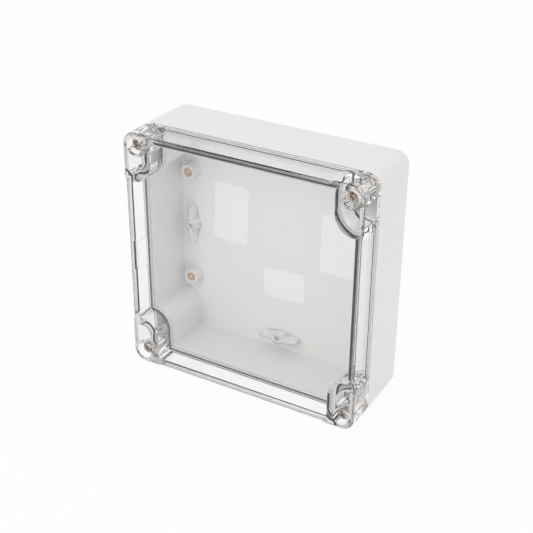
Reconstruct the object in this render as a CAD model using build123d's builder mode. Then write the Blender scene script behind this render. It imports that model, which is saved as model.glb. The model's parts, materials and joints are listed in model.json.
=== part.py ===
from build123d import *
import os
from math import radians, tan

os.makedirs("parts", exist_ok=True)

# A wall box stands as it hangs: its back is towards +Y and its lid faces -Y.
# Levels are distances in front of the back face, up to the face of the lid.

# Overall size
width = 160.0
height = 160.0
base_depth = 40.0
lid_depth = 20.0
corner_radius = 8.0
draft = 0.8
back_edge_radius = 1.5

# Base shell
base_wall = 3.8
floor_thickness = 3.0
floor_fillet = 0.9
rim_width = 3.0

# Seal line, which runs along the walls and round the inside of each corner well
seal_inset = 2.3
well_width = 15.5
well_length = 29.3
well_radius = 9.9
bend_radius = 3.1
groove_width = 1.4
groove_depth = 3.0
gasket_height = 1.5
gasket_clearance = 0.05
rib_width = 0.9
rib_gap = 0.1
rim_gap = 0.05

# Lid
pane_thickness = 3.0
lid_wall = 4.2
lid_well_wall = 3.0
lid_well_offset = 2.6
lid_edge_radius = 1.8
lid_inner_fillet = 0.2
flange_height = 3.2
recess_depth = 0.9
column_width = 18.5
column_length = 29.5
ramp_length = 3.0
ramp_radius = 5.0
pad_length = 20.0
pad_height = 10.0
pad_offset = -5.5
pad_thickness = 0.4
pad_root = 1.5

# Lid screws, their sealing rings and what they pass through
screw_inset = 8.5
screw_head_diameter = 8.0
screw_head_height = 2.6
screw_head_chamfer = 0.7
screw_length = 20.0
screw_thread_diameter = 3.9
screw_thread_length = 8.0
screw_neck_diameter = 3.0
screw_point = 0.6
point_clearance = 0.2
point_room = 0.6
recess_span = 4.4
recess_slot = 1.1
recess_sink = 1.6
ring_height = 1.4
ring_diameter = 7.0
ring_chamfer = 0.4
running_clearance = 0.05
counterbore_diameter = 10.4
counterbore_depth = 7.2
throat_length = 3.0
throat_clearance = 0.2
shank_clearance = 0.45
screw_column_diameter = 14.0
screw_boss_diameter = 12.0

# Brass inserts
insert_diameter = 5.6
insert_fit = 0.02
insert_waist = 0.4
insert_chamfer = 0.3
corner_insert_length = 6.0
corner_insert_sink = 0.2
panel_insert_length = 6.0
panel_thread_diameter = 3.3

# Wall-mounting holes, at the bottom of the corner wells
wall_hole_diameter = 4.8
wall_hole_inset = 21.5
well_floor = 5.0
well_nook_radius = 1.5

# Bosses on the floor of the base
boss_height = 7.0
boss_diameter = 10.0
boss_inset_x = 13.5
boss_inset_z = 42.0
wing_boss_diameter = 8.0
wing_hole_diameter = 3.2
wing_hole_depth = 6.0
wing_inset = 14.0
wing_span = 27.0
wing_thickness = 2.2
wing_drop = 0.3

depth = base_depth + lid_depth
back = Plane(origin=(0, depth / 2, height / 2), x_dir=(1, 0, 0), z_dir=(0, -1, 0))
seam = back.offset(base_depth)
rim = back.offset(base_depth - rim_gap)
floor = back.offset(floor_thickness)
seal_half = rim_width / 2
draft_slope = tan(radians(draft))
screw_spacing_x = width - 2 * screw_inset
screw_spacing_z = height - 2 * screw_inset
wall_hole_spacing_z = height - 2 * wall_hole_inset
boss_spacing_x = width - 2 * boss_inset_x
boss_spacing_z = height - 2 * boss_inset_z
seat_level = depth - counterbore_depth
head_level = seat_level + ring_height
tip_level = head_level - screw_length
pocket_level = base_depth + lid_depth - pane_thickness


def seal_outline(grow):
    """Area inside the seal line, with its edge moved outwards by grow."""
    side_x = width / 2 - seal_inset + grow
    side_z = height / 2 - seal_inset + grow
    well_x = width / 2 - well_width + grow
    well_z = height / 2 - well_length + grow
    bend = bend_radius + grow
    with BuildSketch() as outline:
        with BuildLine():
            FilletPolyline(
                (0, side_z), (well_x, side_z), (well_x, well_z), (side_x, well_z), (side_x, 0),
                radius=[bend, well_radius - grow, bend],
            )
            mirror(about=Plane.XZ)
            mirror(about=Plane.YZ)
        make_face()
    return outline.sketch


def well_outline(grow, wall):
    """The four corner wells: from the seal line moved by grow to the wall and the screw's axis."""
    near_x = width / 2 - well_width + grow
    near_z = height / 2 - well_length + grow
    far_x = width / 2 - wall
    far_z = height / 2 - screw_inset
    with BuildSketch() as outline:
        with BuildLine():
            FilletPolyline(
                (near_x, far_z), (far_x, far_z), (far_x, near_z), (near_x, near_z),
                radius=[0, 0, well_nook_radius, well_radius - grow],
                close=True,
            )
        make_face()
        mirror(about=Plane.XZ)
        mirror(about=Plane.YZ)
    return outline.sketch


def lid_outline():
    """Lid above its flange: full size at the corner columns, set back between them."""
    side_x, side_z = width / 2, height / 2
    set_back_x, set_back_z = side_x - recess_depth, side_z - recess_depth
    end_x, end_z = side_x - column_width, side_z - column_length
    with BuildSketch() as outline:
        with BuildLine():
            FilletPolyline(
                (0, set_back_z), (end_x - ramp_length, set_back_z), (end_x, side_z),
                (side_x, side_z),
                (side_x, end_z), (set_back_x, end_z - ramp_length), (set_back_x, 0),
                radius=[ramp_radius, ramp_radius, corner_radius, ramp_radius, ramp_radius],
            )
            mirror(about=Plane.XZ)
            mirror(about=Plane.YZ)
        make_face()
    return outline.sketch


# Base: a drafted shell with a sealing rib on its rim and a well in each corner outside the seal
back_inset = base_depth * draft_slope
with BuildPart() as base:
    with BuildSketch(back):
        RectangleRounded(width - 2 * back_inset, height - 2 * back_inset, corner_radius - back_inset)
    extrude(amount=base_depth - rim_gap, taper=-draft)
    fillet(base.faces().sort_by(Axis.Y)[-1].edges(), back_edge_radius)
    with BuildSketch(seam):
        add(seal_outline(-seal_half))
    extrude(amount=floor_thickness - base_depth, taper=draft, mode=Mode.SUBTRACT)
    cavity_floor = base.faces().filter_by(Axis.Y).sort_by(Axis.Y)[-2]
    fillet(cavity_floor.edges(), floor_fillet)
    with BuildSketch(seam):
        add(well_outline(seal_half, base_wall))
    extrude(amount=well_floor - base_depth, taper=draft, mode=Mode.SUBTRACT)
    with BuildSketch(back.offset(well_floor)):
        with GridLocations(screw_spacing_x, screw_spacing_z, 2, 2):
            Circle(screw_boss_diameter / 2)
    extrude(amount=base_depth - well_floor)

    # Rib that presses on the gasket
    with BuildSketch(rim):
        add(seal_outline(rib_width / 2))
        add(seal_outline(-rib_width / 2), mode=Mode.SUBTRACT)
    extrude(amount=rim_gap + groove_depth - gasket_height - rib_gap)

    # Screw bosses take a brass insert, with room under it for the point of the screw
    with Locations(seam):
        with GridLocations(screw_spacing_x, screw_spacing_z, 2, 2):
            CounterBoreHole(
                radius=screw_thread_diameter / 2 + point_clearance,
                counter_bore_radius=insert_diameter / 2 + insert_fit,
                counter_bore_depth=corner_insert_length + corner_insert_sink,
                depth=base_depth - tip_level + point_room,
            )

    # Wall screws go through the bottom of each well
    with Locations(back.offset(well_floor)):
        with GridLocations(screw_spacing_x, wall_hole_spacing_z, 2, 2):
            Hole(radius=wall_hole_diameter / 2, depth=well_floor)

    # Round bosses for the inner panel
    with BuildSketch(floor):
        with GridLocations(boss_spacing_x, boss_spacing_z, 2, 2):
            Circle(boss_diameter / 2)
    extrude(amount=boss_height, taper=draft)
    with Locations(floor.offset(boss_height)):
        with GridLocations(boss_spacing_x, boss_spacing_z, 2, 2):
            Hole(radius=insert_diameter / 2 + insert_fit, depth=panel_insert_length)

    # Winged bosses, half way along each side
    wing_x = width / 2 - wing_inset
    wing_z = height / 2 - wing_inset
    with BuildSketch(floor):
        with Locations((wing_x, 0), (-wing_x, 0)):
            SlotOverall(wing_span, wing_thickness, rotation=90)
        with Locations((0, wing_z), (0, -wing_z)):
            SlotOverall(wing_span, wing_thickness)
    extrude(amount=boss_height - wing_drop)
    with BuildSketch(floor):
        with Locations((wing_x, 0), (-wing_x, 0), (0, wing_z), (0, -wing_z)):
            Circle(wing_boss_diameter / 2)
    extrude(amount=boss_height)
    with Locations(floor.offset(boss_height)):
        with Locations((wing_x, 0), (-wing_x, 0), (0, wing_z), (0, -wing_z)):
            Hole(radius=wing_hole_diameter / 2, depth=wing_hole_depth)
base.part.label = "base"
export_step(base.part, "parts/base.step")

# Gasket: a soft cord that fills the end of the groove in the lid
with BuildPart() as gasket:
    with BuildSketch(seam.offset(groove_depth)):
        add(seal_outline(groove_width / 2 - gasket_clearance))
        add(seal_outline(gasket_clearance - groove_width / 2), mode=Mode.SUBTRACT)
    extrude(amount=-gasket_height)
gasket.part.label = "gasket"
export_step(gasket.part, "parts/gasket.step")

# Lid: a clear tray whose wells match the base, with a screw column in each
with BuildPart() as lid:
    with BuildSketch(seam):
        RectangleRounded(width, height, corner_radius)
    extrude(amount=flange_height, taper=draft)
    with BuildSketch(seam):
        add(lid_outline())
    extrude(amount=lid_depth, taper=draft)
    fillet(lid.faces().sort_by(Axis.Y)[0].edges(), lid_edge_radius)

    # The wall between two columns is as thick as lid_wall behind its recessed face
    wall_offset = seal_inset - recess_depth - lid_wall
    with BuildSketch(seam):
        add(seal_outline(wall_offset))
    extrude(amount=pocket_level - base_depth, taper=draft, mode=Mode.SUBTRACT)
    with BuildSketch(seam):
        add(well_outline(lid_well_offset, lid_well_wall))
    extrude(amount=pocket_level - base_depth, taper=draft, mode=Mode.SUBTRACT)
    pocket_faces = lid.faces().filter_by(Axis.Y).group_by(Axis.Y)[1]
    fillet(pocket_faces.edges(), lid_inner_fillet)
    with BuildSketch(seam):
        with GridLocations(screw_spacing_x, screw_spacing_z, 2, 2):
            Circle(screw_column_diameter / 2)
    extrude(amount=pocket_level - base_depth)

    # Groove for the gasket, all round in the flange
    with BuildSketch(seam):
        add(seal_outline(groove_width / 2))
        add(seal_outline(-groove_width / 2), mode=Mode.SUBTRACT)
    extrude(amount=groove_depth, mode=Mode.SUBTRACT)

    # Screw passage: a wide counterbore, a throat that keeps the screw in, a clear bore
    with Locations(back.offset(depth)):
        with GridLocations(screw_spacing_x, screw_spacing_z, 2, 2):
            CounterBoreHole(
                radius=screw_neck_diameter / 2 + throat_clearance,
                counter_bore_radius=counterbore_diameter / 2,
                counter_bore_depth=counterbore_depth,
                depth=lid_depth,
            )
    with BuildSketch(seam):
        with GridLocations(screw_spacing_x, screw_spacing_z, 2, 2):
            Circle(screw_thread_diameter / 2 + shank_clearance)
    extrude(amount=seat_level - throat_length - base_depth, mode=Mode.SUBTRACT)

    # Shallow pad on the recessed face of the left wall, from the flange up
    pad_middle = width / 2 - recess_depth - pad_root / 2 + pad_thickness
    with BuildSketch(back.offset(base_depth + flange_height)):
        with Locations((-pad_middle, pad_offset)):
            Rectangle(pad_root, pad_length)
    extrude(amount=pad_height)
lid.part.label = "lid"
export_step(lid.part, "parts/lid.step")


def brass_insert(place, length, bore_diameter):
    """Turned insert with a waist between its two gripping bands; place is its outer end."""
    radius = insert_diameter / 2
    band = (length - insert_waist) / 2
    with BuildPart() as insert:
        with BuildSketch(place):
            Circle(radius)
        extrude(amount=-length)
        chamfer(insert.faces().sort_by(Axis.Y)[-1].edges(), insert_chamfer)
        with BuildSketch(place.offset(-band)):
            Circle(radius)
            Circle(radius - insert_waist, mode=Mode.SUBTRACT)
        extrude(amount=-insert_waist, mode=Mode.SUBTRACT)
        with Locations(place):
            Hole(radius=bore_diameter / 2, depth=length)
    return insert


corners = {
    "top_left": (-1, 1),
    "top_right": (1, 1),
    "bottom_left": (-1, -1),
    "bottom_right": (1, -1),
}

for name, (side_x, side_z) in corners.items():
    screw_place = (side_x * screw_spacing_x / 2, side_z * screw_spacing_z / 2)
    axis_at_wall = Plane(back.from_local_coords((*screw_place, 0)), x_dir=(1, 0, 0), z_dir=(0, -1, 0))

    # Insert in the corner boss, for the lid screw
    insert_end = axis_at_wall.offset(base_depth - corner_insert_sink)
    corner_insert = brass_insert(
        insert_end, corner_insert_length, screw_thread_diameter + 2 * running_clearance
    )
    corner_insert.part.label = f"corner_insert_{name}"
    export_step(corner_insert.part, f"parts/corner_insert_{name}.step")

    # Insert in the round floor boss, for the inner panel
    boss_place = (side_x * boss_spacing_x / 2, side_z * boss_spacing_z / 2, 0)
    boss_top = Plane(
        floor.offset(boss_height).from_local_coords(boss_place), x_dir=(1, 0, 0), z_dir=(0, -1, 0)
    )
    panel_insert = brass_insert(boss_top, panel_insert_length, panel_thread_diameter)
    panel_insert.part.label = f"panel_insert_{name}"
    export_step(panel_insert.part, f"parts/panel_insert_{name}.step")

    # Sealing ring between the screw's head and its seat in the lid
    with BuildPart() as ring:
        with BuildSketch(axis_at_wall.offset(seat_level)):
            Circle(ring_diameter / 2)
            Circle(screw_neck_diameter / 2 + running_clearance, mode=Mode.SUBTRACT)
        extrude(amount=ring_height)
        chamfer(ring.edges().filter_by(GeomType.CIRCLE).group_by(SortBy.RADIUS)[-1], ring_chamfer)
    ring.part.label = f"sealing_ring_{name}"
    export_step(ring.part, f"parts/sealing_ring_{name}.step")

    # Captive lid screw: head, thin neck and a threaded end that can't pass the throat
    with BuildPart() as screw:
        with BuildSketch(axis_at_wall.offset(head_level)):
            Circle(screw_head_diameter / 2)
        extrude(amount=screw_head_height)
        chamfer(screw.faces().sort_by(Axis.Y)[0].edges(), screw_head_chamfer)
        with BuildSketch(axis_at_wall.offset(head_level)):
            Circle(screw_neck_diameter / 2)
        extrude(amount=screw_thread_length - screw_length)
        with BuildSketch(axis_at_wall.offset(tip_level)):
            Circle(screw_thread_diameter / 2)
        extrude(amount=screw_thread_length)
        chamfer(screw.faces().sort_by(Axis.Y)[-1].edges(), screw_point)
        with BuildSketch(axis_at_wall.offset(head_level + screw_head_height)):
            Rectangle(recess_span, recess_slot)
            Rectangle(recess_slot, recess_span)
        extrude(amount=-recess_sink, mode=Mode.SUBTRACT)
    screw.part.label = f"lid_screw_{name}"
    export_step(screw.part, f"parts/lid_screw_{name}.step")
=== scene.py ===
import bmesh
import bpy
import json
from math import pi, radians
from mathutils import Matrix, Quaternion, Vector

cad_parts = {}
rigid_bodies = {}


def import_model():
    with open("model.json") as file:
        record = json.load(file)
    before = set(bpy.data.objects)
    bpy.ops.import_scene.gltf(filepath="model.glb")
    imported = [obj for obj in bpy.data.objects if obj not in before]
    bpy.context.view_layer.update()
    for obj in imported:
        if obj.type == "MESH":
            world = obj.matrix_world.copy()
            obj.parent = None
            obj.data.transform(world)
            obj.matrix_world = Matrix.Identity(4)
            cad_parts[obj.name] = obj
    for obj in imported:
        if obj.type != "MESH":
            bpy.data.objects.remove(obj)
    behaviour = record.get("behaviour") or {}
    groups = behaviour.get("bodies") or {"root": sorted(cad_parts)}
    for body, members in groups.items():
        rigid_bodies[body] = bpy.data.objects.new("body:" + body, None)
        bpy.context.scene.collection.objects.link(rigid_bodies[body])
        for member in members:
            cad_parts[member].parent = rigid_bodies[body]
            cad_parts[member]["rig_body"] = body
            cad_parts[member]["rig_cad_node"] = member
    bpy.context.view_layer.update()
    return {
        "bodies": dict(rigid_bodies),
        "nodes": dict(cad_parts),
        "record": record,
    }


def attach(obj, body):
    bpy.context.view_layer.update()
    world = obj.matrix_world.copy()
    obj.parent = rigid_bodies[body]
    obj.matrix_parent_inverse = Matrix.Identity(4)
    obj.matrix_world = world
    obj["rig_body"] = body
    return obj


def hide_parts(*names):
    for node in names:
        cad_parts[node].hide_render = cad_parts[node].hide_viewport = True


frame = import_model()
mm = 0.001
middle = 80.0            # height of the box's centre above the floor, mm
corners = {"top_left": (-1, 1), "top_right": (1, 1),
           "bottom_left": (-1, -1), "bottom_right": (1, -1)}
near = {"along": 0.02, "place": 0.05, "level": 0.01, "merge": 0.002}     # mm, what counts as equal

# Camera, at the place that the photograph was taken from
camera = {
    "place": Vector((297.5, -509.0, 396.9)) * mm,
    "aim": Vector((20.03, -30.0, 96.5)) * mm,
    "roll": 0.44,        # degrees
    "lens": 73.65,       # mm
    "sensor": 36,        # mm wide
    "bounces": 40,       # light runs far along the inside of the clear lid
    "clearLayers": 16,   # clear layers that a shadow passes through
}
bpy.ops.object.camera_add(location=camera["place"])
view = bpy.context.object
look = (camera["aim"] - camera["place"]).to_track_quat("-Z", "Y")
view.rotation_euler = (look @ Quaternion((0, 0, 1), radians(camera["roll"]))).to_euler()
view.data.lens = camera["lens"]
view.data.sensor_width = camera["sensor"]
scene = bpy.context.scene
scene.camera = view
scene.view_settings.view_transform = "Standard"
scene.cycles.max_bounces = camera["bounces"]
scene.cycles.transmission_bounces = camera["bounces"]
scene.cycles.glossy_bounces = camera["bounces"]
scene.cycles.transparent_max_bounces = camera["clearLayers"]
print("camera placed")


def hexColour(code):
    channels = [int(code[i:i + 2], 16) / 255 for i in (1, 3, 5)]
    return [c / 12.92 if c <= 0.04045 else ((c + 0.055) / 1.055) ** 2.4 for c in channels] + [1.0]


def addNode(tree, kind, inputs=None, **settings):
    node = tree.nodes.new("ShaderNode" + kind)
    for name, value in settings.items():
        setattr(node, name, value)
    for name, value in (inputs or {}).items():
        if isinstance(value, bpy.types.NodeSocket):
            tree.links.new(value, node.inputs[name])
        else:
            node.inputs[name].default_value = value
    return node


def newMaterial(name):
    material = bpy.data.materials.new(name)
    material.use_nodes = True
    material.node_tree.nodes.clear()
    return material, material.node_tree


# Light grey polycarbonate from a spark-eroded tool: even colour with faint clouds, a soft satin
# shine, fine grain, and edges just round enough to catch the light
basePlastic = {"colour": "#efeeec", "shade": "#eae9e7", "roughness": 0.42, "ior": 1.585,
               "cloud": 55.6 * mm, "grain": 0.35 * mm, "grainDepth": 0.05 * mm, "edge": 0.35 * mm}


def makeBasePlastic():
    material, tree = newMaterial("moulded grey polycarbonate")
    place = addNode(tree, "TexCoord").outputs["Object"]
    cloud = addNode(tree, "TexNoise", {"Vector": place, "Scale": 1 / basePlastic["cloud"],
                                       "Detail": 2.0})
    colour = addNode(tree, "Mix", {"Factor": cloud.outputs["Fac"],
                                   "A": hexColour(basePlastic["colour"]),
                                   "B": hexColour(basePlastic["shade"])}, data_type="RGBA")
    grain = addNode(tree, "TexNoise", {"Vector": place, "Scale": 1 / basePlastic["grain"],
                                       "Detail": 1.0})
    edge = addNode(tree, "Bevel", {"Radius": basePlastic["edge"]}, samples=6)
    bump = addNode(tree, "Bump", {"Height": grain.outputs["Fac"], "Strength": 0.12,
                                  "Distance": basePlastic["grainDepth"],
                                  "Normal": edge.outputs["Normal"]})
    shader = addNode(tree, "BsdfPrincipled", {"Base Color": colour.outputs["Result"],
                                              "Roughness": basePlastic["roughness"],
                                              "IOR": basePlastic["ior"],
                                              "Normal": bump.outputs["Normal"]})
    addNode(tree, "OutputMaterial", {"Surface": shader.outputs["BSDF"]})
    return material


# Clear polycarbonate from a polished tool: bends light strongly, no colour of its own
clearPlastic = {"tint": "#ffffff", "ior": 1.585, "passed": "#fefefe"}


def makeClearPlastic():
    material, tree = newMaterial("clear polished polycarbonate")
    path = addNode(tree, "LightPath")
    # Shadows and soft light pass straight through, and what looks into the plastic is bent
    soft = addNode(tree, "Math", {0: path.outputs["Is Shadow Ray"],
                                  1: path.outputs["Is Diffuse Ray"]}, operation="MAXIMUM")
    solid = addNode(tree, "BsdfPrincipled", {"Base Color": hexColour(clearPlastic["tint"]),
                                             "Roughness": 0.0, "IOR": clearPlastic["ior"],
                                             "Transmission Weight": 1.0})
    passing = addNode(tree, "BsdfTransparent", {"Color": hexColour(clearPlastic["passed"])})
    both = addNode(tree, "MixShader", {"Fac": soft.outputs["Value"], 1: solid.outputs["BSDF"],
                                       2: passing.outputs["BSDF"]})
    addNode(tree, "OutputMaterial", {"Surface": both.outputs["Shader"]})
    return material


# Foamed gasket cord: dark blue grey, soft and matt
gasketRubber = {"colour": "#474a56", "roughness": 0.75, "cell": 0.4 * mm, "cellDepth": 0.1 * mm}


def makeGasketRubber():
    material, tree = newMaterial("foamed grey rubber")
    place = addNode(tree, "TexCoord").outputs["Object"]
    cells = addNode(tree, "TexNoise", {"Vector": place, "Scale": 1 / gasketRubber["cell"],
                                       "Detail": 2.0})
    bump = addNode(tree, "Bump", {"Height": cells.outputs["Fac"], "Strength": 0.3,
                                  "Distance": gasketRubber["cellDepth"]})
    shader = addNode(tree, "BsdfPrincipled", {"Base Color": hexColour(gasketRubber["colour"]),
                                              "Roughness": gasketRubber["roughness"],
                                              "Normal": bump.outputs["Normal"]})
    addNode(tree, "OutputMaterial", {"Surface": shader.outputs["BSDF"]})
    return material


# Sealing rings, moulded rubber: dark, with a faint bloom that makes the shine uneven
ringRubber = {"colour": "#2a2b30", "shiny": 0.4, "dull": 0.6, "bloom": 2.5 * mm}


def makeRingRubber():
    material, tree = newMaterial("moulded black rubber")
    place = addNode(tree, "TexCoord").outputs["Object"]
    bloom = addNode(tree, "TexNoise", {"Vector": place, "Scale": 1 / ringRubber["bloom"],
                                       "Detail": 2.0})
    gloss = addNode(tree, "MapRange", {"Value": bloom.outputs["Fac"],
                                       "To Min": ringRubber["shiny"], "To Max": ringRubber["dull"]})
    shader = addNode(tree, "BsdfPrincipled", {"Base Color": hexColour(ringRubber["colour"]),
                                              "Roughness": gloss.outputs["Result"]})
    addNode(tree, "OutputMaterial", {"Surface": shader.outputs["BSDF"]})
    return material


# Stainless steel, cold headed: bright, with faint drawing marks that make the shine uneven
steel = {"colour": "#e8dace", "shiny": 0.16, "dull": 0.32, "mark": 0.5 * mm}


def makeSteel():
    material, tree = newMaterial("cold headed stainless steel")
    place = addNode(tree, "TexCoord").outputs["Object"]
    marks = addNode(tree, "TexNoise", {"Vector": place, "Scale": 1 / steel["mark"], "Detail": 3.0})
    gloss = addNode(tree, "MapRange", {"Value": marks.outputs["Fac"],
                                       "To Min": steel["shiny"], "To Max": steel["dull"]})
    shader = addNode(tree, "BsdfPrincipled", {"Base Color": hexColour(steel["colour"]),
                                              "Metallic": 1.0,
                                              "Roughness": gloss.outputs["Result"]})
    addNode(tree, "OutputMaterial", {"Surface": shader.outputs["BSDF"]})
    return material


# Turned brass: pale gold, bright, with fine tool marks that make the shine uneven
brass = {"colour": "#e6cdb4", "shiny": 0.16, "dull": 0.34, "mark": 0.3 * mm}


def makeBrass():
    material, tree = newMaterial("turned brass")
    place = addNode(tree, "TexCoord").outputs["Object"]
    marks = addNode(tree, "TexNoise", {"Vector": place, "Scale": 1 / brass["mark"], "Detail": 2.0})
    gloss = addNode(tree, "MapRange", {"Value": marks.outputs["Fac"],
                                       "To Min": brass["shiny"], "To Max": brass["dull"]})
    shader = addNode(tree, "BsdfPrincipled", {"Base Color": hexColour(brass["colour"]),
                                              "Metallic": 1.0,
                                              "Roughness": gloss.outputs["Result"]})
    addNode(tree, "OutputMaterial", {"Surface": shader.outputs["BSDF"]})
    return material


# Coated label paper: bright white, matt, a little fibre
labelPaper = {"colour": "#f7f5f5", "roughness": 0.55, "fibre": 0.6 * mm, "fibreDepth": 0.02 * mm}


def makeLabelPaper():
    material, tree = newMaterial("coated label paper")
    place = addNode(tree, "TexCoord").outputs["Object"]
    fibre = addNode(tree, "TexNoise", {"Vector": place, "Scale": 1 / labelPaper["fibre"],
                                       "Detail": 2.0})
    bump = addNode(tree, "Bump", {"Height": fibre.outputs["Fac"], "Strength": 0.1,
                                  "Distance": labelPaper["fibreDepth"]})
    shader = addNode(tree, "BsdfPrincipled", {"Base Color": hexColour(labelPaper["colour"]),
                                              "Roughness": labelPaper["roughness"],
                                              "Normal": bump.outputs["Normal"]})
    addNode(tree, "OutputMaterial", {"Surface": shader.outputs["BSDF"]})
    return material


# Studio: white backdrop, a white screen on the right, and on the camera's side a dark room over a
# grey table, which the lid's edges show as dark lines. Each start and end says how far a direction
# leans to Y (front), X (screen) or Z (table) where one begins and ends to fade into the other
studio = {
    "white": "#ffffff", "room": "#18202f", "table": "#b9bcc2",
    "frontStart": 0.25, "frontEnd": 0.15,
    "screenStart": 0.35, "screenEnd": 0.2,
    "tableStart": -0.35, "tableEnd": -0.2,
    "light": "#ffffff", "lightLevel": 0.86,
    "floorSize": 6.0,    # m
    "paper": "#fafafa",
    "floorShare": 0.9,   # share of plain white in the floor that the camera sees, over its shadow
}


def makeWorld():
    world = bpy.data.worlds.new("studio")
    scene.world = world
    world.use_nodes = True
    tree = world.node_tree
    tree.nodes.clear()
    path = addNode(tree, "LightPath")
    compass = addNode(tree, "TexCoord").outputs["Generated"]
    direction = addNode(tree, "SeparateXYZ", {"Vector": compass})
    front = addNode(tree, "MapRange", {"Value": direction.outputs["Y"],
                                       "From Min": studio["frontStart"],
                                       "From Max": studio["frontEnd"]})
    left = addNode(tree, "MapRange", {"Value": direction.outputs["X"],
                                      "From Min": studio["screenStart"],
                                      "From Max": studio["screenEnd"]})
    upper = addNode(tree, "MapRange", {"Value": direction.outputs["Z"],
                                       "From Min": studio["tableStart"],
                                       "From Max": studio["tableEnd"]})
    dim = addNode(tree, "Mix", {"Factor": upper.outputs["Result"], "A": hexColour(studio["table"]),
                                "B": hexColour(studio["room"])}, data_type="RGBA")
    room = addNode(tree, "Math", {0: front.outputs["Result"], 1: left.outputs["Result"]},
                   operation="MULTIPLY")
    shades = addNode(tree, "Mix", {"Factor": room.outputs["Value"], "A": hexColour(studio["white"]),
                                   "B": dim.outputs["Result"]}, data_type="RGBA")

    # The camera sees white, the lid and the metal see the room, and all else gets the even light
    seen = addNode(tree, "Math", {0: path.outputs["Is Glossy Ray"],
                                  1: path.outputs["Is Transmission Ray"]}, operation="MAXIMUM")
    around = addNode(tree, "Background", {"Color": shades.outputs["Result"], "Strength": 1.0})
    plain = addNode(tree, "Background", {"Color": hexColour(studio["white"]), "Strength": 1.0})
    light = addNode(tree, "Background", {"Color": hexColour(studio["light"]),
                                         "Strength": studio["lightLevel"]})
    first = addNode(tree, "MixShader", {"Fac": seen.outputs["Value"],
                                        1: light.outputs["Background"],
                                        2: around.outputs["Background"]})
    second = addNode(tree, "MixShader", {"Fac": path.outputs["Is Camera Ray"],
                                         1: first.outputs["Shader"],
                                         2: plain.outputs["Background"]})
    addNode(tree, "OutputWorld", {"Surface": second.outputs["Shader"]})


def makeFloor():
    bpy.ops.mesh.primitive_plane_add(size=studio["floorSize"], location=(0, 0, 0))
    floor = bpy.context.object
    floor.name = "studio_floor"
    material, tree = newMaterial("white paper sweep")
    path = addNode(tree, "LightPath")
    share = addNode(tree, "Math", {0: path.outputs["Is Camera Ray"], 1: studio["floorShare"]},
                    operation="MULTIPLY")
    paper = addNode(tree, "BsdfDiffuse", {"Color": hexColour(studio["paper"])})
    glow = addNode(tree, "Emission", {"Color": hexColour(studio["white"]), "Strength": 1.0})
    both = addNode(tree, "MixShader", {"Fac": share.outputs["Value"], 1: paper.outputs["BSDF"],
                                       2: glow.outputs["Emission"]})
    addNode(tree, "OutputMaterial", {"Surface": both.outputs["Shader"]})
    floor.data.materials.append(material)
    floor.visible_transmission = False      # the lid sees the world in its place
    floor.visible_glossy = False            # and so do the metal and all that shines


# Softbox in front of the box and above it, in m and W
softbox = {"place": Vector((-0.2, -1.5, 1.1)), "aim": Vector((0, 0, 0.08)), "size": 1.2,
           "power": 6.0}


def makeSoftbox():
    bpy.ops.object.light_add(type="AREA", location=softbox["place"])
    lamp = bpy.context.object
    lamp.name = "key_softbox"
    lamp.data.shape = "DISK"
    lamp.data.size = softbox["size"]
    lamp.data.energy = softbox["power"]
    lamp.rotation_euler = (softbox["aim"] - softbox["place"]).to_track_quat("-Z", "Y").to_euler()


makeWorld()
makeFloor()
makeSoftbox()
print("studio ready")

materials = {
    "base_plastic": makeBasePlastic(),
    "clear_plastic": makeClearPlastic(),
    "gasket_rubber": makeGasketRubber(),
    "ring_rubber": makeRingRubber(),
    "stainless_steel": makeSteel(),
    "brass": makeBrass(),
    "label_paper": makeLabelPaper(),
}


def deselect():
    if bpy.context.object and bpy.context.object.mode != "OBJECT":
        bpy.ops.object.mode_set(mode="OBJECT")
    bpy.ops.object.select_all(action="DESELECT")


def activate(piece):
    deselect()
    piece.select_set(True)
    bpy.context.view_layer.objects.active = piece


def settle(piece):
    activate(piece)
    bpy.ops.object.transform_apply(location=True, rotation=True, scale=True)


def block(x, y, z):
    # Each of x, y and z is a pair of ends in mm; z counts from the middle of the box
    deselect()
    place = [(a + b) / 2 * mm for a, b in (x, y, z)]
    size = [abs(b - a) * mm for a, b in (x, y, z)]
    place[2] += middle * mm
    bpy.ops.mesh.primitive_cube_add(size=1, location=place, scale=size)
    piece = bpy.context.object
    settle(piece)
    return piece


def rod(radius, y, x, z, sides=48):
    # Cylinder along Y between two levels, in mm
    deselect()
    place = (x * mm, (y[0] + y[1]) / 2 * mm, (z + middle) * mm)
    bpy.ops.mesh.primitive_cylinder_add(vertices=sides, radius=radius * mm,
                                        depth=abs(y[1] - y[0]) * mm, location=place,
                                        rotation=(radians(90), 0, 0))
    piece = bpy.context.object
    settle(piece)
    return piece


def pickEdges(piece, test):
    # Selects the edges whose two ends, in mm from the middle of the box, pass the test
    activate(piece)
    bpy.ops.object.mode_set(mode="EDIT")
    bpy.ops.mesh.select_mode(type="EDGE")
    bpy.ops.mesh.select_all(action="DESELECT")
    shape = bmesh.from_edit_mesh(piece.data)
    shift = Vector((0, 0, middle * mm))
    for edge in shape.edges:
        if test(*[(v.co - shift) / mm for v in edge.verts]):
            edge.select_set(True)
    bmesh.update_edit_mesh(piece.data)


def roundEdges(piece, test, radius, steps):
    pickEdges(piece, test)
    bpy.ops.mesh.bevel(offset=radius * mm, segments=steps, affect="EDGES")
    bpy.ops.object.mode_set(mode="OBJECT")


def uprightAt(*places):
    # Test for edges that run along Y through one of the places (x, z)
    def test(a, b):
        upright = max(abs(a.x - b.x), abs(a.z - b.z)) < near["along"]
        return upright and any(max(abs(a.x - x), abs(a.z - z)) < near["place"] for x, z in places)
    return test


def levelAt(level):
    # Test for edges that lie at one level along Y
    return lambda a, b: abs(a.y - level) < near["level"] and abs(b.y - level) < near["level"]


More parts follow.
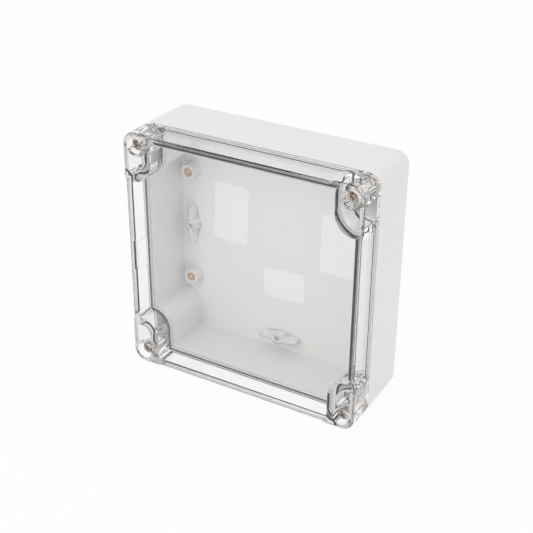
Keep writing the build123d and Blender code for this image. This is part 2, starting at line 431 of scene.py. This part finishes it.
def combine(piece, tool, how="DIFFERENCE"):
    activate(piece)
    bpy.ops.object.modifier_add(type="BOOLEAN")
    piece.modifiers[-1].operation = how
    piece.modifiers[-1].solver = "EXACT"
    piece.modifiers[-1].object = tool
    bpy.ops.object.modifier_apply(modifier=piece.modifiers[-1].name)
    bpy.data.objects.remove(tool)


def flipped(piece, x, z):
    # Copy with its own mesh, mirrored across the middle of the box where x or z is -1
    activate(piece)
    bpy.ops.object.duplicate(linked=False)
    copy = bpy.context.object
    copy.location.z = middle * mm * (1 - z)
    copy.scale = (x, 1, z)
    settle(copy)
    bpy.ops.object.mode_set(mode="EDIT")
    bpy.ops.mesh.select_all(action="SELECT")
    bpy.ops.mesh.normals_make_consistent(inside=False)
    bpy.ops.object.mode_set(mode="OBJECT")
    return copy


def turned(profile, sides=48):
    # Turned piece along the middle axis: pairs of level and radius in mm, from one end to the other
    deselect()
    level, radius = profile[0]
    bpy.ops.mesh.primitive_circle_add(vertices=sides, radius=radius * mm, fill_type="NGON",
                                      location=(0, level * mm, middle * mm),
                                      rotation=(radians(90), 0, 0))
    piece = bpy.context.object
    settle(piece)
    bpy.ops.object.mode_set(mode="EDIT")
    bpy.ops.mesh.select_all(action="SELECT")
    for nextLevel, nextRadius in profile[1:]:
        step = (0, (nextLevel - level) * mm, 0)
        bpy.ops.mesh.extrude_region_move(TRANSFORM_OT_translate={"value": step})
        grow = nextRadius / radius
        bpy.ops.transform.resize(value=(grow, 1, grow),
                                 center_override=(0, nextLevel * mm, middle * mm))
        level, radius = nextLevel, nextRadius
    bpy.ops.mesh.select_all(action="SELECT")
    bpy.ops.mesh.normals_make_consistent(inside=False)
    bpy.ops.object.mode_set(mode="OBJECT")
    return piece


def helix(radius, depth, pitch, start, turns, foot=0.42, steps=24):
    # Thread ridge round the middle axis: radius of its crest, its depth (negative inside a bore),
    # pitch, first level, number of turns, and half the width of its foot in pitches
    deselect()
    bpy.ops.mesh.primitive_circle_add(vertices=3, radius=1, fill_type="NOTHING",
                                      rotation=(0, 0, radians(-90)))
    ridge = bpy.context.object
    settle(ridge)
    for vertex in ridge.data.vertices:
        crest = vertex.co.x > 0.9           # the corner of the triangle that points outwards
        side = 0 if crest else (1 if vertex.co.y > 0 else -1)
        vertex.co = ((radius - (0 if crest else depth)) * mm, side * foot * pitch * mm, 0)
    bpy.ops.object.modifier_add(type="SCREW")
    winding = ridge.modifiers[-1]
    winding.axis = "Y"
    winding.screw_offset = pitch * mm
    winding.iterations = turns
    winding.steps = steps
    winding.render_steps = steps
    bpy.ops.object.modifier_apply(modifier=winding.name)
    bpy.ops.object.mode_set(mode="EDIT")
    bpy.ops.mesh.select_all(action="DESELECT")
    bpy.ops.mesh.select_mode(type="EDGE")
    bpy.ops.mesh.select_non_manifold(extend=False)
    bpy.ops.mesh.edge_face_add()
    bpy.ops.mesh.select_all(action="SELECT")
    bpy.ops.mesh.normals_make_consistent(inside=False)
    bpy.ops.object.mode_set(mode="OBJECT")
    ridge.location = (0, start * mm, middle * mm)
    settle(ridge)
    return ridge


def join(piece, *others):
    activate(piece)
    for other in others:
        other.select_set(True)
    bpy.ops.object.join()


def placed(piece, x, z, turn=0.0):
    # Own copy, turned clockwise about the middle axis and moved to (x, z)
    activate(piece)
    bpy.ops.object.duplicate(linked=False)
    copy = bpy.context.object
    copy.rotation_euler = (0, radians(turn), 0)
    swung = Quaternion((0, 1, 0), radians(turn)) @ Vector((0, 0, middle * mm))
    copy.location = Vector((x, 0, z + middle)) * mm - swung
    settle(copy)
    return copy


def smooth(piece, angle=35):
    activate(piece)
    bpy.ops.object.shade_smooth_by_angle(angle=radians(angle))
    bpy.ops.object.modifier_add(type="WEIGHTED_NORMAL")
    piece.modifiers[-1].keep_sharp = True
    bpy.ops.object.modifier_apply(modifier=piece.modifiers[-1].name)


def finish(piece, name, slot, body, node=None):
    piece.name = name
    piece.data.materials.clear()
    piece.data.materials.append(materials[slot])
    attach(piece, body)
    if node:
        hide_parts(node)


def bodyOf(node):
    for body, empty in frame["bodies"].items():
        if frame["nodes"][node].parent == empty:
            return body


def dressed(node, slot):
    # The CAD piece itself, merged and smoothed
    source = frame["nodes"][node]
    piece = source.copy()
    piece.data = source.data.copy()
    piece.parent = None
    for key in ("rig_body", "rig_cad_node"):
        if key in piece:
            del piece[key]
    scene.collection.objects.link(piece)
    activate(piece)
    bpy.ops.object.mode_set(mode="EDIT")
    bpy.ops.mesh.select_all(action="SELECT")
    bpy.ops.mesh.remove_doubles(threshold=near["merge"] * mm)
    bpy.ops.object.mode_set(mode="OBJECT")
    smooth(piece)
    finish(piece, node + "_finished", slot, bodyOf(node), node)


# Clear lid, in mm; seam, face, tops, ends and the seat are levels along Y
lid = {
    "half": 80.0, "seam": -10.0, "face": -30.0, "cornerRadius": 8.0, "edgeRadius": 1.8,
    "flangeTop": -13.2,
    "draft": 0.014,      # slope of the walls
    "recess": 0.9, "columnX": 18.5, "columnZ": 29.5, "ramp": 3.0, "rampRadius": 0.7,
    "wall": 4.2, "wellWall": 3.0, "paneInner": -27.0, "innerRadius": 0.2,
    "sealInset": 2.3, "bendRadius": 3.1,
    "wellX": 15.5, "wellZ": 29.3, "wellRadius": 9.9, "wellOffset": 2.6, "nookRadius": 1.5,
    "grooveHalf": 0.7, "grooveEnd": -13.0,
    "screwInset": 8.5, "columnRadius": 7.0, "boreRadius": 5.2, "seat": -22.8,
    "throatRadius": 1.7, "throatEnd": -19.8, "shankRadius": 2.4,
    "padZ": (-15.5, 4.5), "padLift": 0.4, "padDepth": 1.2, "padTop": -23.2, "padFoot": -12.7,
    "over": 1.0,         # how far a tool stands out past what it cuts; a few stand out further,
                         # so that no two faces coincide
}


def sealBlock(grow, y):
    # Block inside the seal line, which is moved outwards by grow: a square with the wells left out
    side, over = lid["half"] - lid["sealInset"] + grow, lid["over"]
    nearX = lid["half"] - lid["wellX"] + grow
    nearZ = lid["half"] - lid["wellZ"] + grow
    piece = block((-side, side), y, (-side, side))
    well = block((nearX, side + 5 * over), (y[0] - over, y[1] + over), (nearZ, side + 5 * over))
    roundEdges(well, uprightAt((nearX, nearZ)), lid["wellRadius"] - grow, steps=20)
    for x, z in ((-1, 1), (-1, -1), (1, -1)):
        combine(piece, flipped(well, x, z))
    combine(piece, well)
    bends = [(x * a, z * b) for a, b in ((nearX, side), (side, nearZ))
             for x in (-1, 1) for z in (-1, 1)]
    roundEdges(piece, uprightAt(*bends), lid["bendRadius"] + grow, steps=6)
    return piece


def makeLid():
    half, face, seam, over = lid["half"], lid["face"], lid["seam"], lid["over"]
    shell = block((-half, half), (face, seam), (-half, half))
    outside = [(x * half, z * half) for x in (-1, 1) for z in (-1, 1)]
    roundEdges(shell, uprightAt(*outside), lid["cornerRadius"], steps=20)

    # Recessed walls between the corner columns, with a ramp at each end
    for side in range(4):
        turn = Quaternion((0, 1, 0), side * pi / 2)
        end = half - (lid["columnZ"] if side % 2 == 0 else lid["columnX"])
        inner, flat = half - lid["recess"], end - lid["ramp"]
        slab = block((inner, half + over), (face - over, lid["flangeTop"]), (-flat, flat))
        spread = (flat + lid["ramp"] / lid["recess"] * (lid["recess"] + over)) / flat
        pickEdges(slab, lambda a, b: a.x > half and b.x > half)
        bpy.ops.transform.resize(value=(1, 1, spread))
        bpy.ops.object.mode_set(mode="OBJECT")
        roundEdges(slab, uprightAt((inner, -flat), (inner, flat)), lid["rampRadius"], steps=4)
        slab.location = Vector((0, 0, middle * mm)) + turn @ Vector((0, 0, -middle * mm))
        slab.rotation_euler = (0, side * pi / 2, 0)
        settle(slab)
        combine(shell, slab)
        rims = [turn @ Vector((half, 0, s * end)) for s in (-1, 1)]
        roundEdges(shell, uprightAt(*[(r.x, r.z) for r in rims]), lid["rampRadius"], steps=4)
    roundEdges(shell, levelAt(face), lid["edgeRadius"], steps=6)

    # Pocket behind the pane, and a well in each corner that runs round the screw's column
    offset = lid["sealInset"] - lid["recess"] - lid["wall"]
    pocket = sealBlock(offset, (lid["paneInner"], seam + 5 * over))
    roundEdges(pocket, levelAt(lid["paneInner"]), lid["innerRadius"], steps=3)
    combine(shell, pocket)
    nearX = half - lid["wellX"] + lid["wellOffset"]
    nearZ = half - lid["wellZ"] + lid["wellOffset"]
    farX, screw = half - lid["wellWall"], half - lid["screwInset"]
    well = block((nearX, farX), (lid["paneInner"], seam + 5 * over), (nearZ, screw))
    roundEdges(well, uprightAt((nearX, nearZ)), lid["wellRadius"] - lid["wellOffset"], steps=20)
    roundEdges(well, uprightAt((farX, nearZ)), lid["nookRadius"], steps=5)
    column = rod(lid["columnRadius"], (face - 5 * over, seam + 10 * over), screw, screw, sides=64)
    combine(well, column)
    roundEdges(well, levelAt(lid["paneInner"]), lid["innerRadius"], steps=3)

    # Passage for the screw: wide counterbore, throat that keeps the screw in, clear bore
    passage = rod(lid["boreRadius"], (face - over, lid["seat"]), screw, screw, sides=64)
    throat = rod(lid["throatRadius"], (face - over / 2, seam + over), screw, screw)
    combine(passage, throat, "UNION")
    shank = rod(lid["shankRadius"], (lid["throatEnd"], seam + 2 * over), screw, screw)
    combine(passage, shank, "UNION")
    for x, z in ((-1, 1), (-1, -1), (1, -1)):
        combine(shell, flipped(well, x, z))
        combine(shell, flipped(passage, x, z))
    combine(shell, well)
    combine(shell, passage)

    # Groove for the gasket
    ring = sealBlock(lid["grooveHalf"], (lid["grooveEnd"], seam + over))
    combine(ring, sealBlock(-lid["grooveHalf"], (lid["grooveEnd"] - over, seam + 2 * over)))
    combine(shell, ring)

    # Shallow pad on the left wall
    padFace = lid["recess"] - lid["padLift"] - half
    pad = block((padFace, padFace + lid["padDepth"]), (lid["padTop"], lid["padFoot"]), lid["padZ"])
    combine(shell, pad, "UNION")

    # Walls lean in towards the face
    activate(shell)
    for vertex in shell.data.vertices:
        lean = 1 - lid["draft"] * (seam - vertex.co.y / mm) / half
        vertex.co.x *= lean
        vertex.co.z = middle * mm + (vertex.co.z - middle * mm) * lean
    smooth(shell, angle=32)
    finish(shell, "lid_finished", "clear_plastic", "lid", "lid")
    print("lid modelled", len(shell.data.polygons))


makeLid()


# Lid screw: pan head with a cross recess, thin neck, threaded end; all in mm, and the body is pairs
# of level along Y and radius
lidScrew = {
    "body": [(-26.8, 0.8), (-26.77, 1.7), (-26.62, 2.6), (-26.3, 3.3), (-25.8, 3.75),
             (-25.2, 3.98), (-24.9, 4.0), (-24.3, 4.0), (-24.2, 3.9), (-24.2, 1.5),
             (-12.2, 1.5), (-11.9, 1.62), (-4.9, 1.62), (-4.2, 1.2)],
    "recessSpan": 4.4, "recessSlot": 1.1, "recessTop": -27.2, "recessEnd": -25.2,
    "recessTaper": 0.66,     # size of the recess at its end
    "threadRadius": 1.95, "threadDepth": 0.4, "pitch": 0.7, "threadStart": -11.6, "threadTurns": 9,
    "turned": {"top_left": 24, "top_right": 8, "bottom_left": 38, "bottom_right": 57},   # degrees
}


def makeScrews():
    screw = turned(lidScrew["body"])
    long, slot = lidScrew["recessSpan"] / 2, lidScrew["recessSlot"] / 2
    end, taper = lidScrew["recessEnd"], lidScrew["recessTaper"]
    for x, z in ((long, slot), (slot, long)):
        wing = block((-x, x), (lidScrew["recessTop"], end), (-z, z))
        pickEdges(wing, levelAt(end))
        bpy.ops.transform.resize(value=(taper, 1, taper),
                                 center_override=(0, end * mm, middle * mm))
        bpy.ops.object.mode_set(mode="OBJECT")
        combine(screw, wing)
    join(screw, helix(lidScrew["threadRadius"], lidScrew["threadDepth"], lidScrew["pitch"],
                      lidScrew["threadStart"], lidScrew["threadTurns"]))
    far = lid["half"] - lid["screwInset"]
    for corner, (x, z) in corners.items():
        piece = placed(screw, x * far, z * far, lidScrew["turned"][corner])
        smooth(piece, angle=40)
        node = "lid_screw_" + corner
        finish(piece, node + "_finished", "stainless_steel", bodyOf(node), node)
    bpy.data.objects.remove(screw)
    print("screws modelled")


makeScrews()


# Brass inserts, moulded in, all in mm: two gripping bands with a waist between them, a bore with a
# chamfered mouth, and in the panel's inserts a thread; bore is a radius
insert = {
    "radius": 2.8, "waist": 0.4, "edge": 0.25, "mouthWide": 0.2, "mouthDeep": 0.3,
    "pitch": 0.7, "threadHeight": 0.3,
    "threadDepth": 0.36,     # height and what is sunk in the wall
    "threadMargin": 1.2,     # length of the bore without thread
    "corner": {"end": -9.8, "length": 6.0, "bore": 2.0, "x": 71.5, "z": 71.5},
    "panel": {"end": 20.0, "length": 6.0, "bore": 1.65, "x": 66.5, "z": 38.0},
}


def makeInserts(kind):
    size = insert[kind]
    radius, waist, edge, end = insert["radius"], insert["waist"], insert["edge"], size["end"]
    inner, half = end + size["length"], end + size["length"] / 2
    piece = turned([(end, radius - edge), (end + edge, radius), (half - waist / 2, radius),
                    (half - waist / 2, radius - waist), (half + waist / 2, radius - waist),
                    (half + waist / 2, radius), (inner - edge, radius), (inner, radius - edge)])
    bore, mouth, pitch = size["bore"], size["bore"] + insert["mouthWide"], insert["pitch"]
    combine(piece, turned([(end - 1, mouth), (end, mouth), (end + insert["mouthDeep"], bore),
                           (inner + 1, bore)]))
    if kind == "panel":
        turns = int((size["length"] - insert["threadMargin"]) / pitch)
        join(piece, helix(bore - insert["threadHeight"], -insert["threadDepth"], pitch, end + pitch,
                          turns))
    for corner, (x, z) in corners.items():
        copy = placed(piece, x * size["x"], z * size["z"])
        smooth(copy)
        node = kind + "_insert_" + corner
        finish(copy, node + "_finished", "brass", bodyOf(node), node)
    bpy.data.objects.remove(piece)
    print(kind, "inserts modelled")


makeInserts("corner")
makeInserts("panel")


# Bare labels on the floor of the base, in mm; places are width, height, middle (x, z) and turn in
# degrees, clockwise from the front
label = {
    "thickness": 0.12, "floor": 27.0, "cornerRadius": 2.6,
    "places": {"left": (25.3, 40.5, -38.6, 13.0, 1.9), "lower": (30.0, 21.0, 0.9, -28.5, -3.6),
               "right": (24.0, 40.0, 38.5, 8.8, 1.2)},
}


def makeLabels():
    for name, (wide, high, x, z, turn) in label["places"].items():
        paper = block((-wide / 2, wide / 2), (label["floor"] - label["thickness"], label["floor"]),
                      (-high / 2, high / 2))
        outside = [(a * wide / 2, b * high / 2) for a in (-1, 1) for b in (-1, 1)]
        roundEdges(paper, uprightAt(*outside), label["cornerRadius"], steps=6)
        copy = placed(paper, x, z, turn)
        bpy.data.objects.remove(paper)
        smooth(copy, angle=30)
        finish(copy, "label_" + name, "label_paper", bodyOf("base"))
    print("labels placed")


makeLabels()

for sub in frame["record"]["subparts"]:
    if not sub["node"].startswith(("lid", "corner_insert", "panel_insert")):
        dressed(sub["node"], sub["material_slot"])
print("base, gasket and rings dressed")
